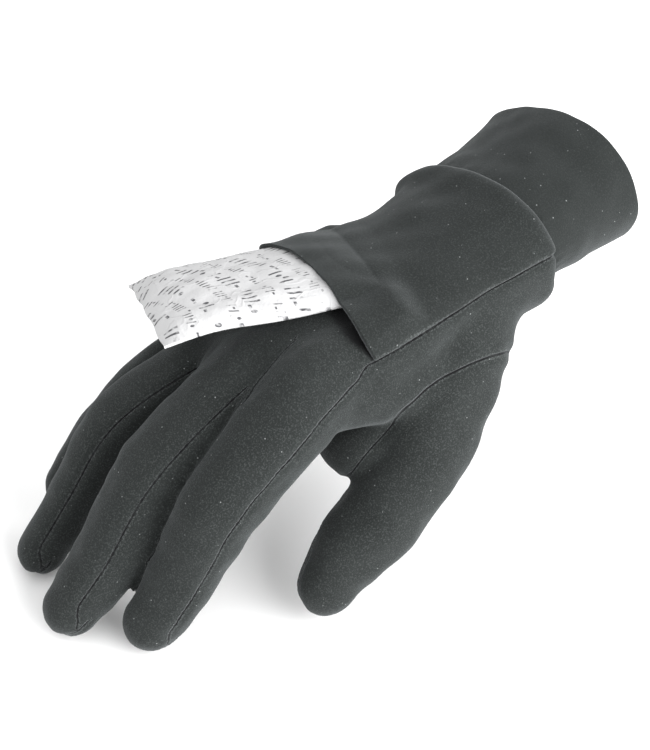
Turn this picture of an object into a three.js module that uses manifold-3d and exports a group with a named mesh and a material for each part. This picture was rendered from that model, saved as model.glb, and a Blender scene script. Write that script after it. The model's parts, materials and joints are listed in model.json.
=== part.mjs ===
// A right-hand glove liner of thin stretch fleece, in the form that it has when it is worn, with a flat
// heat pack half out of the pocket on its back. Millimetres, Z up. The origin is the middle of the wrist
// seam. The fingers point to -Y and down to the table, the thumb lies to +X, and the cuff points to +Y.
import * as THREE from "three";
import { mergeVertices } from "three/addons/utils/BufferGeometryUtils.js";
import Module from "manifold-3d";

// Cloth and clearances
const clothWall = 1.2;
const cuffWall = 2;
const seamGap = 0.3;

// How the worn hand stands: the palm slopes down to the fingers and leans to the little finger
const palmPitch = 8.5;
const palmRoll = 16;

// Palm and wrist, from the wrist seam to the middle knuckle
const palmLength = 80;
const wristThumbSide = 36.5;
const wristLittleSide = 28;
const wristHalfDepth = 23;
const knuckleThumbSide = 40;
const knuckleLittleSide = 44;
const knuckleHalfDepth = 14.5;
const knuckleArc = 13;

// Fingers and thumb: from the knuckle, or from the thumb's root in the palm, to the middle of the tip's round,
// and their radius at that start
const indexLength = 88;
const indexRadius = 12.7;
const middleLength = 95;
const middleRadius = 12.6;
const ringLength = 94.5;
const ringRadius = 10.8;
const littleLength = 80;
const littleRadius = 10.5;
const thumbLength = 97.5;
const thumbRadius = 18;

// Cuff
const cuffLength = 41;
const cuffYaw = 5;
const cuffOffset = 2;
const cuffSeamHalfWidth = 30.5;
const cuffSeamHalfDepth = 21.5;
const cuffRimHalfWidth = 32.5;
const cuffRimHalfDepth = 23.5;

// Pocket: how far its mouth lies from the wrist seam at each side, how far it is drawn back from the straight
// line between them, and how widely it slopes up to the pack
const pocketThumbSide = 76;
const pocketFarSide = 58;
const pocketSag = 9;
const pocketSlope = 14;
const pocketSeamRise = 0.04;

// Heat pack. packAhead, packAside: the middle of its outer end from the middle of the wrist seam, aside to the
// little finger's side. packLevel: height of its inner end, as a share of the wrist's and the knuckles' half
// depths together. packLift: how much higher its outer end is. packBow: how much lower its sides are than its
// middle. packTilt: how much the side at the little finger is lower, and the other higher.
const packLength = 66;
const packWidth = 53;
const packThickness = 4.5;
const packEdge = 1;
const packAhead = 100.5;
const packAside = 19;
const packYaw = 17.5;
const packLevel = 0.416;
const packLift = 8.5;
const packBow = 4.5;
const packTilt = 1.5;
const packGap = 0.5;
const packCorner = 0.06;
const packRest = 0.75;

// Palm sections. at: share of palmLength from the wrist. thumb, little, deep: 0 is the wrist's size, 1 the
// knuckles'. close: how far the section has closed in towards the webs. seam: height of the side seams, as
// a share of the half depth.
const palmSections = [
  { at: 0, thumb: 0, little: 0, deep: 0, close: 1, seam: 0.08 },
  { at: 0.12, thumb: -0.2, little: -0.15, deep: 0.35, close: 1, seam: 0.12 },
  { at: 0.3, thumb: 0.2, little: -0.02, deep: 0.65, close: 1, seam: 0.16 },
  { at: 0.5, thumb: 0.6, little: 0.3, deep: 0.85, close: 1, seam: 0.2 },
  { at: 0.7, thumb: 0.9, little: 0.8, deep: 0.95, close: 1, seam: 0.24 },
  { at: 0.88, thumb: 1, little: 1, deep: 1, close: 1, seam: 0.25 },
  { at: 1, thumb: 1, little: 1, deep: 1.05, close: 0.96, seam: 0.25 },
  { at: 1.1, thumb: 0.9, little: 0.98, deep: 1.3, close: 0.86, seam: 0.2 },
  { at: 1.18, thumb: 0.8, little: 0.95, deep: 1.6, close: 0.66, seam: 0.1 },
];
const knuckleRow = palmSections[5];

// Fingers. ahead, aside, above: the knuckle from the middle of the wrist seam, as shares of palmLength, of the
// knuckles' width on that side and of knuckleHalfDepth. splay: towards the thumb. twist: turn of the finger
// about its own length. bends: at the knuckle and the joints. bones, radii: shares of the length and radius.
const fingers = [
  {
    length: indexLength, radius: indexRadius,
    ahead: 0.969, aside: 0.65, above: 0, splay: 7, twist: -28,
    bends: [32, 24, -5], bones: [0.494, 0.284, 0.222], radii: [1, 0.92, 0.82, 0.66],
  },
  {
    length: middleLength, radius: middleRadius,
    ahead: 1.006, aside: 0.125, above: 0.15, splay: -10, twist: -4,
    bends: [22, 18, -5], bones: [0.484, 0.305, 0.211], radii: [1, 0.945, 0.84, 0.68],
  },
  {
    length: ringLength, radius: ringRadius,
    ahead: 0.931, aside: -0.318, above: 0.07, splay: -20, twist: 0,
    bends: [12, 26, 1], bones: [0.481, 0.302, 0.217], radii: [1, 0.9, 0.815, 0.7],
  },
  {
    length: littleLength, radius: littleRadius,
    ahead: 0.819, aside: -0.705, above: -0.275, splay: -20, twist: 0,
    bends: [8, 21, 10], bones: [0.475, 0.275, 0.25], radii: [1, 0.855, 0.76, 0.65],
  },
];

// Root of a finger inside the palm, behind its knuckle: back as a share of palmLength, inward of the knuckle's
// place aside, lower of knuckleHalfDepth, radius of the knuckle's
const fingerRoot = { back: 0.3, inward: 0.2, lower: 0.07, radius: 0.8 };
const fingerDepth = 0.96;
const fingerSeam = 0.5;
const tipLength = 1.25;
const tipSlack = 1.5;

// Web of cloth between the palm, the thumb and the first finger, a run of rounds under the side seam, placed
// as the knuckles are. radius: share of thumbRadius.
const webRun = [
  { ahead: 0.3, aside: 0.5, above: -0.415, radius: 0.72 },
  { ahead: 0.55, aside: 0.5, above: -0.965, radius: 0.72 },
  { ahead: 0.75, aside: 0.475, above: -1.17, radius: 0.64 },
  { ahead: 0.925, aside: 0.5, above: -0.76, radius: 0.555 },
];

// Thumb, placed as the knuckles are. Of each bone, its share of the length and the angles towards the thumb
// side and down.
const thumbRoot = { ahead: 0.269, aside: 0.5, above: -0.207 };
const thumbBones = [
  { share: 0.446, aside: 16, down: 46 },
  { share: 0.308, aside: 1, down: 31 },
  { share: 0.246, aside: -8, down: 30 },
];
const thumbRadii = [1, 0.88, 0.71, 0.49];

// The thumb's round seam lies in a plane through its first bone at this share of its length, facing outwards
// and down from the palm
const thumbSeam = { share: 0.316, outwards: 43, forwards: 14 };

// Facets
const palmSides = 30;
const fingerSides = 14;
const fingerSteps = 10;
const thumbSteps = 11;
const webSteps = 5;
const tipShares = [0.35, 0.65, 0.87, 0.99];
const pocketGrid = { rows: 12, columns: 22 };
const packGrid = { rows: 10, columns: 10 };
const cuffShares = [0, 0.25, 0.5, 0.75, 1];
const throughCut = 0.1;

// Power of the superellipses that all sections are
const roundness = 2.2;

const wasm = await Module();
wasm.setup();

const radians = THREE.MathUtils.degToRad;
const mix = THREE.MathUtils.lerp;

// Points and faces as a closed solid, with its faces turned outwards
function solidOf(points, faces) {
  const geometry = new THREE.BufferGeometry().setFromPoints(points);
  geometry.setIndex(faces);
  const merged = mergeVertices(geometry, 1e-4);
  const vertProperties = merged.getAttribute("position").array;
  const triVerts = new Uint32Array(merged.index.array);
  const solid = new wasm.Manifold(new wasm.Mesh({ numProp: 3, vertProperties, triVerts }));
  if (solid.volume() > 0) return solid;
  return new wasm.Manifold(new wasm.Mesh({ numProp: 3, vertProperties, triVerts: triVerts.reverse() }));
}

// A closed skin through rings of equally many points, each end closed on its middle
function loft(rings) {
  const count = rings[0].length;
  const points = rings.flat();
  const faces = [];
  for (let i = 0; i + 1 < rings.length; i++) {
    for (let j = 0; j < count; j++) {
      const k = (j + 1) % count;
      const near = i * count;
      const far = near + count;
      faces.push(near + j, near + k, far + k, near + j, far + k, far + j);
    }
  }
  for (const [ring, turned] of [[0, false], [rings.length - 1, true]]) {
    const middle = new THREE.Vector3();
    rings[ring].forEach((point) => middle.add(point));
    points.push(middle.divideScalar(count));
    for (let j = 0; j < count; j++) {
      const a = ring * count + j;
      const b = ring * count + ((j + 1) % count);
      faces.push(points.length - 1, turned ? a : b, turned ? b : a);
    }
  }
  return solidOf(points, faces);
}

// A closed sheet between an upper and a lower grid of points of the same rows and columns
function sheet(upper, lower) {
  const rows = upper.length;
  const columns = upper[0].length;
  const points = [...upper.flat(), ...lower.flat()];
  const under = rows * columns;
  const faces = [];
  const at = (row, column) => row * columns + column;
  for (let i = 0; i + 1 < rows; i++) {
    for (let j = 0; j + 1 < columns; j++) {
      const [a, b, c, d] = [at(i, j), at(i, j + 1), at(i + 1, j + 1), at(i + 1, j)];
      faces.push(a, b, c, a, c, d);
      faces.push(under + a, under + c, under + b, under + a, under + d, under + c);
    }
  }
  const rim = [];
  for (let j = 0; j < columns - 1; j++) rim.push(at(0, j));
  for (let i = 0; i < rows - 1; i++) rim.push(at(i, columns - 1));
  for (let j = columns - 1; j > 0; j--) rim.push(at(rows - 1, j));
  for (let i = rows - 1; i > 0; i--) rim.push(at(i, 0));
  rim.forEach((a, i) => {
    const b = rim[(i + 1) % rim.length];
    faces.push(a, under + a, under + b, a, under + b, b);
  });
  return solidOf(points, faces);
}

// Ring of a section: a superellipse round its middle, grown by some millimetres, and ahead too in a tip.
// With a floor, only the part above that height, closed by a straight chord.
function ring(section, grow, sides, floor) {
  const { side, up, halfWidth, halfDepth } = section;
  const middle = section.middle.clone();
  middle.addScaledVector(section.ahead, grow);
  const width = Math.max(halfWidth + grow, 0.05);
  const depth = Math.max(halfDepth + grow, 0.05);
  const power = 2 / roundness;
  let start = 0;
  let sweep = 2 * Math.PI;
  let steps = sides;
  if (floor !== undefined) {
    start = Math.asin(THREE.MathUtils.clamp(floor / depth, 0, 0.95) ** (1 / power));
    sweep = Math.PI - 2 * start;
    steps = sides / 2;
  }
  const points = [];
  for (let i = 0; i < (floor === undefined ? steps : steps + 1); i++) {
    const angle = start + (sweep * i) / steps;
    const c = Math.cos(angle);
    const s = Math.sin(angle);
    const x = width * Math.sign(c) * Math.abs(c) ** power;
    const z = depth * Math.sign(s) * Math.abs(s) ** power;
    points.push(middle.clone().addScaledVector(side, x).addScaledVector(up, z));
  }
  return points;
}

// Palm section at a share of the palm's length, in the palm's own frame
function palmSection(share) {
  const last = palmSections.length - 1;
  let i = 0;
  while (i < last - 1 && palmSections[i + 1].at < share) i++;
  const a = palmSections[i];
  const b = palmSections[i + 1];
  const t = THREE.MathUtils.clamp((share - a.at) / (b.at - a.at), 0, 1);
  const close = mix(a.close, b.close, t);
  const toThumb = mix(wristThumbSide, knuckleThumbSide, mix(a.thumb, b.thumb, t));
  const toLittle = mix(wristLittleSide, knuckleLittleSide, mix(a.little, b.little, t));
  return {
    middle: new THREE.Vector3((toThumb - toLittle) / 2, -share * palmLength, 0),
    side: new THREE.Vector3(1, 0, 0),
    up: new THREE.Vector3(0, 0, 1),
    halfWidth: (close * (toThumb + toLittle)) / 2,
    halfDepth: close * mix(wristHalfDepth, knuckleHalfDepth, mix(a.deep, b.deep, t)),
    ahead: new THREE.Vector3(0, -(1 - close) / (1 - palmSections[last].close), 0),
    seam: mix(a.seam, b.seam, t),
    share,
  };
}

// The knuckles lie on an arc: a palm ring is bent back at its sides by its share of that arc
function bendPalm(points, section) {
  const bend = knuckleArc * Math.min(section.share, 1) ** 2;
  points.forEach((point) => {
    point.y += bend * ((point.x - section.middle.x) / knuckleThumbSide) ** 2;
  });
  return points;
}

function palmLoft(grow, seamed, start) {
  const shares = palmSections.map((row) => row.at);
  if (start < 0) shares.unshift(start);
  const rings = shares.map((share) => {
    const section = palmSection(share);
    const drop = grow * (1 + tipSlack * section.ahead.length());
    const floor = seamed ? section.seam * section.halfDepth - drop : undefined;
    return bendPalm(ring(section, grow, palmSides, floor), section);
  });
  return loft(rings);
}

// Sections of a finger or thumb along its smooth centre line, closing in a round tip
function digitSections(joints, side, radii, steps) {
  const [tip, before] = [joints.at(-1), joints.at(-2)];
  const tipRadius = radii.at(-1);
  const end = tip.clone().addScaledVector(tip.clone().sub(before).normalize(), tipRadius);
  const path = new THREE.CatmullRomCurve3([...joints, end], false, "centripetal");
  const length = path.getLength();
  const knots = joints.slice(0, -1).reduce((list, joint, i) => {
    list.push(list.at(-1) + joints[i + 1].distanceTo(joint));
    return list;
  }, [0]);
  const cap = tipLength * tipRadius;
  const places = [];
  for (let i = 0; i <= steps; i++) places.push(((length - cap) * i) / steps);
  for (const share of tipShares) places.push(length - cap * (1 - share));
  return places.map((place) => {
    const u = place / length;
    const tangent = path.getTangentAt(u);
    let k = 0;
    while (k < knots.length - 2 && knots[k + 1] < place) k++;
    const t = THREE.MathUtils.clamp((place - knots[k]) / (knots[k + 1] - knots[k]), 0, 1);
    const inCap = Math.max(0, 1 - (length - place) / cap);
    const radius = mix(radii[k], radii[k + 1], t) * Math.sqrt(1 - inCap ** 2);
    const up = new THREE.Vector3().crossVectors(tangent, side).normalize();
    const across = new THREE.Vector3().crossVectors(up, tangent).normalize();
    const ahead = tangent.multiplyScalar(inCap);
    return {
      middle: path.getPointAt(u),
      side: across,
      up,
      ahead,
      halfWidth: radius,
      halfDepth: radius * fingerDepth,
    };
  });
}

// A place in the hand from its shares of the palm's length, of the knuckles' width on its side and of their
// half depth
function handPlace({ ahead, aside, above }) {
  const width = aside > 0 ? knuckleThumbSide : knuckleLittleSide;
  return new THREE.Vector3(aside * width, -ahead * palmLength, above * knuckleHalfDepth);
}

function fingerSections(finger) {
  const { splay, twist, bends } = finger;
  const turn = radians(splay);
  const forward = new THREE.Vector3(Math.sin(turn), -Math.cos(turn), 0);
  const side = new THREE.Vector3(Math.cos(turn), Math.sin(turn), 0).applyAxisAngle(forward, radians(twist));
  const up = new THREE.Vector3(0, 0, 1).applyAxisAngle(forward, radians(twist));
  const knuckle = handPlace(finger);
  const { back, inward, lower } = fingerRoot;
  const behind = new THREE.Vector3(-knuckle.x * inward, back * palmLength, -lower * knuckleHalfDepth);
  const root = behind.add(knuckle);
  const joints = [root, knuckle];
  let bend = 0;
  finger.bones.forEach((share, i) => {
    bend += radians(bends[i]);
    const along = forward.clone().multiplyScalar(Math.cos(bend)).addScaledVector(up, -Math.sin(bend));
    joints.push(joints.at(-1).clone().addScaledVector(along, share * finger.length));
  });
  const radii = [fingerRoot.radius, ...finger.radii].map((share) => share * finger.radius);
  return digitSections(joints, side, radii, fingerSteps);
}

function thumbJoints() {
  const joints = [handPlace(thumbRoot)];
  for (const { share, aside, down } of thumbBones) {
    const out = radians(aside);
    const drop = radians(down);
    const along = new THREE.Vector3(
      Math.sin(out) * Math.cos(drop),
      -Math.cos(out) * Math.cos(drop),
      -Math.sin(drop),
    );
    joints.push(joints.at(-1).clone().addScaledVector(along, share * thumbLength));
  }
  return joints;
}

function digitLoft(sections, grow, seamed) {
  const rings = sections.map((section) => {
    const drop = grow * (1 + tipSlack * section.ahead.length());
    const floor = seamed ? fingerSeam * section.halfDepth - drop : undefined;
    return ring(section, grow, fingerSides, floor);
  });
  return loft(rings);
}

// A point of the back of the hand, `across` from -1 at the little finger's side to 1 at the thumb's, grown
// outwards by some millimetres
function backPoint(across, share, grow) {
  const section = palmSection(share);
  const height = (1 - Math.abs(across) ** roundness) ** (1 / roundness);
  const point = new THREE.Vector3(
    section.middle.x + across * (section.halfWidth + grow),
    -share * palmLength,
    height * (section.halfDepth + grow),
  );
  return bendPalm([point], section)[0];
}

// Place on the pack as shares of its half length (outwards) and half width (to the thumb)
function onPack(x, y) {
  const yaw = radians(packYaw);
  const dx = x + packAside;
  const dy = y + packAhead;
  const out = -dx * Math.sin(yaw) - dy * Math.cos(yaw) + packLength / 2;
  const aside = dx * Math.cos(yaw) - dy * Math.sin(yaw);
  return [out / (packLength / 2), aside / (packWidth / 2)];
}

function fromPack(out, aside) {
  const yaw = radians(packYaw);
  const far = ((out - 1) * packLength) / 2;
  const wide = (aside * packWidth) / 2;
  return [
    -packAside - far * Math.sin(yaw) + wide * Math.cos(yaw),
    -packAhead - far * Math.cos(yaw) - wide * Math.sin(yaw),
  ];
}

// Height at which the pack's underside lies: on the back of the hand in the pocket, from where it rises
// straight out over the knuckles
function bedHeight(x, y) {
  let share = -y / palmLength;
  for (let i = 0; i < 3; i++) {
    const bend = knuckleArc * Math.min(share, 1) ** 2 * (x / knuckleThumbSide) ** 2;
    share = (bend - y) / palmLength;
  }
  const section = palmSection(THREE.MathUtils.clamp(share, 0, knuckleRow.at));
  const across = Math.min(Math.abs(x - section.middle.x) / section.halfWidth, packRest);
  const back = section.halfDepth * (1 - across ** roundness) ** (1 / roundness);
  const [out, aside] = onPack(x, y);
  const level = packLevel * (wristHalfDepth + knuckleHalfDepth);
  const lower = packBow * Math.min(aside ** 2, 1) - packTilt * THREE.MathUtils.clamp(aside, -1, 1);
  return Math.max(back + packGap, level - lower + packLift * THREE.MathUtils.smoothstep(out, -1, 1));
}

// The sachet is thick in its middle and thin along its pressed edges
function packDepth(out, aside) {
  const full = Math.max(0, 1 - out ** 6) * Math.max(0, 1 - aside ** 6);
  return packEdge + (packThickness - packEdge) * full;
}

function packSolid() {
  const { rows, columns } = packGrid;
  const upper = [];
  const lower = [];
  for (let i = 0; i <= rows; i++) {
    upper.push([]);
    lower.push([]);
    for (let j = 0; j <= columns; j++) {
      const out = -Math.cos((Math.PI * i) / rows);
      const aside = -Math.cos((Math.PI * j) / columns);
      const pull = 1 - packCorner * out ** 8 * aside ** 8;
      const [x, y] = fromPack(out * pull, aside * pull);
      const bed = bedHeight(x, y);
      lower[i].push(new THREE.Vector3(x, y, bed));
      upper[i].push(new THREE.Vector3(x, y, bed + packDepth(out, aside)));
    }
  }
  return sheet(upper, lower);
}

// Pocket sheet: its sides lie on the side seams, and it lifts over the pack and slopes down around it
function pocketSolid() {
  const { rows, columns } = pocketGrid;
  const grids = [[], []];
  for (let i = 0; i <= rows; i++) {
    const along = i / rows;
    grids.forEach((grid) => grid.push([]));
    for (let j = 0; j <= columns; j++) {
      const u = j / columns;
      const mouth = mix(pocketThumbSide, pocketFarSide, u) - pocketSag * Math.sin(Math.PI * u);
      const share = mix(seamGap, mouth, along) / palmLength;
      const edge = Math.asin((palmSection(share).seam + pocketSeamRise) ** (roundness / 2));
      const turn = Math.cos(mix(edge, Math.PI - edge, u));
      const across = Math.sign(turn) * Math.abs(turn) ** (2 / roundness);
      const under = backPoint(across, share, seamGap);
      const over = backPoint(across, share, seamGap + clothWall);
      const [out, aside] = onPack(under.x, under.y);
      const outside = Math.hypot(
        (Math.max(0, -out - 1) * packLength) / 2,
        (Math.max(0, Math.abs(aside) - 1) * packWidth) / 2,
      );
      const cover = THREE.MathUtils.smoothstep(pocketSlope - outside, 0, pocketSlope);
      const top = bedHeight(under.x, under.y) + packDepth(out, aside) + packGap;
      const lift = cover * Math.max(0, top - under.z);
      grids[0][i].push(over.setZ(over.z + lift));
      grids[1][i].push(under.setZ(under.z + lift));
    }
  }
  return sheet(grids[0], grids[1]);
}

// Cuff ring at a share of its length, turned a little to the little finger's side
function cuffRing(share, grow) {
  const yaw = radians(cuffYaw) * Math.min(share * 2, 1);
  const ahead = new THREE.Vector3(-Math.sin(yaw), Math.cos(yaw), 0);
  const reach = seamGap + share * (cuffLength - seamGap);
  const section = {
    middle: new THREE.Vector3(cuffOffset, 0, 0).addScaledVector(ahead, reach),
    side: new THREE.Vector3(Math.cos(yaw), Math.sin(yaw), 0),
    up: new THREE.Vector3(0, 0, 1),
    ahead: new THREE.Vector3(),
    halfWidth: mix(cuffSeamHalfWidth, cuffRimHalfWidth, share ** 2),
    halfDepth: mix(cuffSeamHalfDepth, cuffRimHalfDepth, share ** 2),
  };
  return ring(section, grow, palmSides);
}

function cuffSolid() {
  const skin = loft(cuffShares.map((share) => cuffRing(share, 0)));
  const past = [-throughCut, ...cuffShares.slice(1, -1), 1 + throughCut];
  const inside = loft(past.map((share) => cuffRing(share, -cuffWall)));
  return skin.subtract(inside);
}

const join = (solids) => solids.reduce((a, b) => a.add(b));

// Everything beyond the thumb's seam, moved outwards by some millimetres
function beyondThumbSeam(offset) {
  const { share, outwards, forwards } = thumbSeam;
  const [root, knuckle] = thumbJoints();
  const place = root.lerp(knuckle, share / thumbBones[0].share);
  const normal = new THREE.Vector3(0, 0, -1);
  normal.applyAxisAngle(new THREE.Vector3(0, 1, 0), -radians(outwards));
  normal.applyAxisAngle(new THREE.Vector3(0, 0, 1), -radians(forwards));
  const size = 2 * palmLength;
  const box = new THREE.BoxGeometry(size, size, size).toNonIndexed();
  box.translate(0, 0, size / 2 + offset);
  box.applyQuaternion(new THREE.Quaternion().setFromUnitVectors(new THREE.Vector3(0, 0, 1), normal));
  box.translate(place.x, place.y, place.z);
  const points = [];
  const position = box.getAttribute("position");
  for (let i = 0; i < position.count; i++) points.push(new THREE.Vector3().fromBufferAttribute(position, i));
  return solidOf(points, points.map((_, i) => i));
}

const fingerRuns = fingers.map(fingerSections);
const thumbSide = new THREE.Vector3(1, 0, 0);
const thumbWidths = thumbRadii.map((share) => share * thumbRadius);
const thumbRun = digitSections(thumbJoints(), thumbSide, thumbWidths, thumbSteps);
const webWidths = webRun.map(({ radius }) => radius * thumbRadius);
const webSections = digitSections(webRun.map(handPlace), thumbSide, webWidths, webSteps);

const thumbWhole = digitLoft(thumbRun, 0, false);
const outer = join([
  palmLoft(0, false, 0),
  ...fingerRuns.map((run) => digitLoft(run, 0, false)),
  digitLoft(webSections, 0, false),
  thumbWhole.subtract(beyondThumbSeam(-seamGap)),
]);
const hollow = join([
  palmLoft(-clothWall, false, -throughCut),
  ...fingerRuns.map((run) => digitLoft(run, -clothWall, false)),
  digitLoft(webSections, -clothWall, false),
  digitLoft(thumbRun, -clothWall, false),
]);
const backCaps = join([palmLoft(0, true, 0), ...fingerRuns.map((run) => digitLoft(run, 0, true))]);
const backClear = join([
  backCaps,
  palmLoft(seamGap, true, -throughCut),
  ...fingerRuns.map((run) => digitLoft(run, seamGap, true)),
]);
const thumbOuter = thumbWhole.intersect(beyondThumbSeam(0));
const thumbClear = digitLoft(thumbRun, seamGap, false).intersect(beyondThumbSeam(-seamGap));

// The panel without the crumbs that its cuts leave in the webs
function panel(solid) {
  return solid.decompose().reduce((a, b) => (a.volume() > b.volume() ? a : b));
}

const backPanel = panel(backCaps.subtract(hollow).subtract(thumbClear));
const palmPanel = panel(outer.subtract(backClear).subtract(hollow).subtract(thumbClear));
const thumb = panel(thumbOuter.subtract(hollow));

const cloth = new THREE.MeshStandardMaterial({ color: 0x1f2022, roughness: 0.95, metalness: 0 });
const paper = new THREE.MeshStandardMaterial({ color: 0xe9e9ea, roughness: 0.8, metalness: 0 });

const hand = new THREE.Group();
hand.rotation.set(radians(palmPitch), -radians(palmRoll), 0);

function addPiece(name, solid, material) {
  const { vertProperties, triVerts } = solid.getMesh();
  const geometry = new THREE.BufferGeometry();
  geometry.setAttribute("position", new THREE.BufferAttribute(vertProperties, 3));
  geometry.setIndex(new THREE.BufferAttribute(triVerts, 1));
  geometry.computeVertexNormals();
  const mesh = new THREE.Mesh(geometry, material);
  mesh.name = name;
  hand.add(mesh);
}

addPiece("back_panel", backPanel, cloth);
addPiece("palm_panel", palmPanel, cloth);
addPiece("thumb", thumb, cloth);
addPiece("pocket", pocketSolid(), cloth);
addPiece("cuff", cuffSolid(), cloth);
addPiece("heat_pack", packSolid(), paper);

export default hand;
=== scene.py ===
# Looks of a right-hand glove liner: stretched fleece skin, sewn pocket, turned cuff and a crinkled heat pack.
# Shapes are worked out in millimetres in the palm's own frame (fingers to -Y, thumb to +X, back of the hand
# to +Z, middle of the wrist seam at 0), then tilted as the worn hand stands and scaled to metres.
import json

import bmesh
import bpy
import numpy as np
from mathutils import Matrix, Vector
from mathutils.kdtree import KDTree

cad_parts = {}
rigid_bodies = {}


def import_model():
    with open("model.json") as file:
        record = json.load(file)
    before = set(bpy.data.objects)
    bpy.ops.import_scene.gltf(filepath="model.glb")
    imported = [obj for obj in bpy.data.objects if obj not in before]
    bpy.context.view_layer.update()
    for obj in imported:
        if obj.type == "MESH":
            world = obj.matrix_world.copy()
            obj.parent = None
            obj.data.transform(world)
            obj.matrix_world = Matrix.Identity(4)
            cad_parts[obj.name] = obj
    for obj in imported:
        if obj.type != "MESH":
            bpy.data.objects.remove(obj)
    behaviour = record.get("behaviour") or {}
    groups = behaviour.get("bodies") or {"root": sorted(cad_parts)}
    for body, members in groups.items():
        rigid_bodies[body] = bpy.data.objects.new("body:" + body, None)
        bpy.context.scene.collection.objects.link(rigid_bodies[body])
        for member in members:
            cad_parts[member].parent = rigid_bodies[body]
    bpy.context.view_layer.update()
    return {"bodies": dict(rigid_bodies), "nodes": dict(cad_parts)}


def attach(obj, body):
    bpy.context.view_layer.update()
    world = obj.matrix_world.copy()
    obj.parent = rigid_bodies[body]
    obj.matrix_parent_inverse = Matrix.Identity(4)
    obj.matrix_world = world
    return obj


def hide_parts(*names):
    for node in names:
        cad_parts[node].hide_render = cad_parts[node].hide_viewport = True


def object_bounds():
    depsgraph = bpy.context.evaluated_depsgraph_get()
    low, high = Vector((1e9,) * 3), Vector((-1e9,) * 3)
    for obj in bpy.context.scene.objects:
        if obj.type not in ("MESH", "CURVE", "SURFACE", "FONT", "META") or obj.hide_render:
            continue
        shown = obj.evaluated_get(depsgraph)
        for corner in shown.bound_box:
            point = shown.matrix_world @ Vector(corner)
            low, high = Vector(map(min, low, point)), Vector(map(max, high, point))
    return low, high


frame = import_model()
body = list(frame["bodies"])[0]
print("frame loaded:", sorted(frame["nodes"]))

mm = 0.001
stance = dict(pitch=8.5, roll=16)       # degrees: down to the fingers, over to the little finger

palm = dict(
    length=80, wristThumb=39.2, wristLittle=28, wristDepth=23,
    knuckleThumb=40, knuckleLittle=44, knuckleDepth=14.5, arc=13, knuckleAt=0.88,
    roundness=2.2, wristRound=6, overCuff=0.2, swing=0.088, swingFade=22,
)
# At shares of the palm's length: how far the thumb's side, the little finger's side and the depth have gone
# from wrist to knuckle, how far the section closes, and the side seam's height as a share of the half depth
palmColumns = ["at", "thumb", "little", "deep", "close", "seam"]
palmRows = np.array([
    [0.00, 0.0, 0.0, 0.0, 1.0, 0.08],
    [0.12, -0.2, -0.15, 0.35, 1.0, 0.12],
    [0.30, -1.6, -0.02, 0.65, 1.0, 0.16],
    [0.50, -0.6, 0.3, 0.85, 1.0, 0.2],
    [0.70, 0.9, 0.8, 0.95, 1.0, 0.24],
    [0.88, 1.0, 1.0, 1.0, 1.0, 0.25],
    [1.00, 1.0, 1.0, 1.05, 0.96, 0.25],
    [1.10, 0.9, 0.98, 1.3, 0.86, 0.2],
    [1.18, 0.8, 0.95, 1.6, 0.66, 0.1],
])

# Swellings of the cloth beside the wrist seam: share of the palm's length, degrees round it, millimetres
puffs = np.array([[0.045, -30, 2.4], [0.045, 150, 2.9]])
puffSpread = dict(length=0.04, turn=28)

cuff = dict(
    length=40.6, wall=2, yaw=6.6, offset=2, seamWidth=30.5, seamDepth=21.5, rimWidth=32.2, rimDepth=24.1,
    gap=0.3, under=0.2, pucker=0.18, puckerWave=5.2, puckerRun=3.5, sway=0.3, swayFrom=0.3, fine=0.12,
)


def rotation(axis, degrees):
    # Rotation matrix about a unit axis, by Rodrigues' formula.
    x, y, z = axis
    k = np.array([[0, -z, y], [z, 0, -x], [-y, x, 0]])
    a = np.radians(degrees)
    return np.eye(3) + np.sin(a) * k + (1 - np.cos(a)) * k @ k


stand = rotation((1, 0, 0), stance["pitch"]) @ rotation((0, 1, 0), -stance["roll"])


def unit(v):
    return v / np.maximum(np.linalg.norm(v, axis=-1, keepdims=True), 1e-9)


def smoothStep(x):
    x = np.clip(x, 0, 1)
    return x * x * (3 - 2 * x)


def superellipse(angle):
    # Point of the unit superellipse |x|^n + |z|^n = 1 at an angle: signed powers of cosine and sine.
    c, s, power = np.cos(angle), np.sin(angle), 2 / palm["roundness"]
    return np.sign(c) * np.abs(c) ** power, np.sign(s) * np.abs(s) ** power


def sineWave(x, height, turns, start):
    return height * np.sin(turns * x + start)


def ripple(points, size, seed, waves=14):
    # Soft noise of about unit height: a sum of plane sine waves about one size long, in random directions.
    draw = np.random.default_rng(seed)
    ways = unit(draw.normal(size=(waves, 3))) * (2 * np.pi / (size * draw.uniform(0.7, 1.5, (waves, 1))))
    shift = draw.uniform(0, 2 * np.pi, waves)
    return np.sin(points @ ways.T + shift).sum(-1) / np.sqrt(waves / 2)


# Meshes, from arrays of points and faces

def meshObject(name, points, faces, material, smooth=True):
    mesh = bpy.data.meshes.new(name)
    mesh.from_pydata(points.tolist(), [], faces)
    mesh.validate()
    mesh.polygons.foreach_set("use_smooth", np.full(len(mesh.polygons), smooth))
    mesh.update()
    made = bpy.data.objects.new(name, mesh)
    bpy.context.scene.collection.objects.link(made)
    if material:
        mesh.materials.append(material)
    return made


def setAttributes(thing, layers=1, **fields):
    # Values of each point for the materials, said once for all layers of points.
    for name, values in fields.items():
        attribute = thing.data.attributes.new(name, "FLOAT", "POINT")
        attribute.data.foreach_set("value", np.tile(np.ravel(values), layers).astype(np.float32))


def meshPoints(mesh):
    points = np.empty(len(mesh.vertices) * 3)
    mesh.vertices.foreach_get("co", points)
    return points.reshape(-1, 3)


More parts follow.
